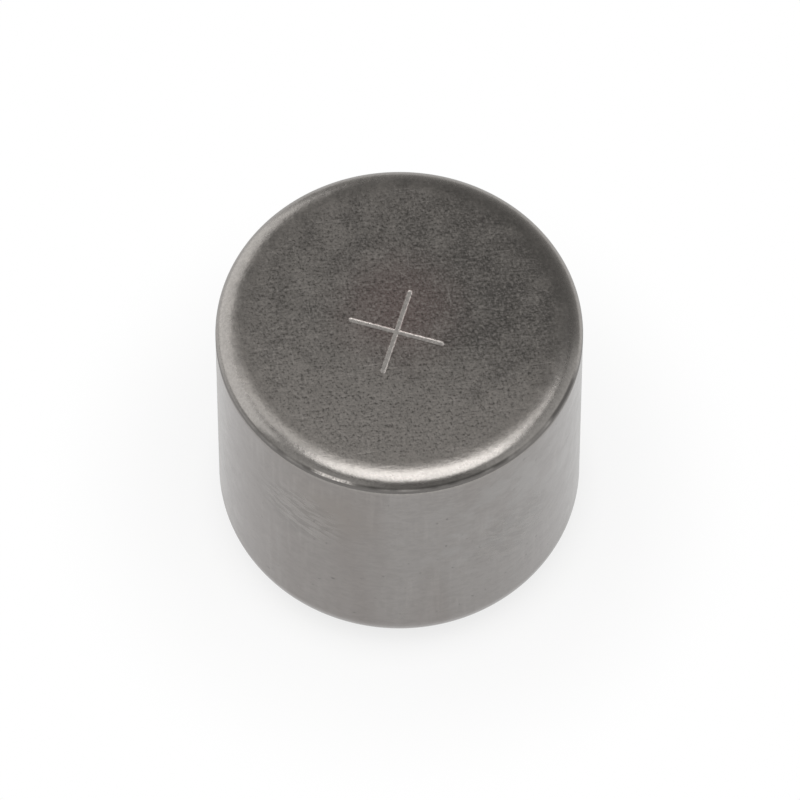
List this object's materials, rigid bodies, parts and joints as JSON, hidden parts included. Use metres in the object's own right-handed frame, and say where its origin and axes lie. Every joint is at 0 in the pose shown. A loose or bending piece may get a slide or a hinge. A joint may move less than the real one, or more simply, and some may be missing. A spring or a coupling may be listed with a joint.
{
  "type": "lithium battery",
  "caption": "Short cylindrical 3 V lithium cell: a nickel-plated steel can crimped over a gasket and a folded cap, round a wound electrode roll.",
  "frame": {"origin": "centre of the negative contact's flat face, which the cell stands on", "axes": "+Z along the cell's axis to the closed positive end; +X and +Y are free, as the outside is round"},
  "size_m": [0.0116, 0.0116, 0.0108],
  "materials": {
    "can_nickel": "satin nickel plate, finely tumbled on the closed face",
    "cap_nickel": "satin nickel plate",
    "gasket_plastic": "natural moulded polypropylene",
    "cathode_mix": "matt pressed manganese dioxide powder",
    "grid_steel": "bright stainless steel",
    "lithium_metal": "soft dull silver metal",
    "separator_film": "white microporous film",
    "tab_nickel": "bright rolled nickel",
    "insulator_plastic": "plain punched plastic sheet"
  },
  "bodies": {
    "root": {"positive_can": "can_nickel", "negative_cap": "cap_nickel", "sealing_gasket": "gasket_plastic", "cathode_strip": "cathode_mix", "cathode_grid": "grid_steel", "anode_strip": "lithium_metal", "separator_inner": "separator_film", "separator_outer": "separator_film", "cathode_tab": "tab_nickel", "anode_tab": "tab_nickel", "floor_insulator": "insulator_plastic", "cap_insulator": "insulator_plastic"}
  },
  "joints": []
}
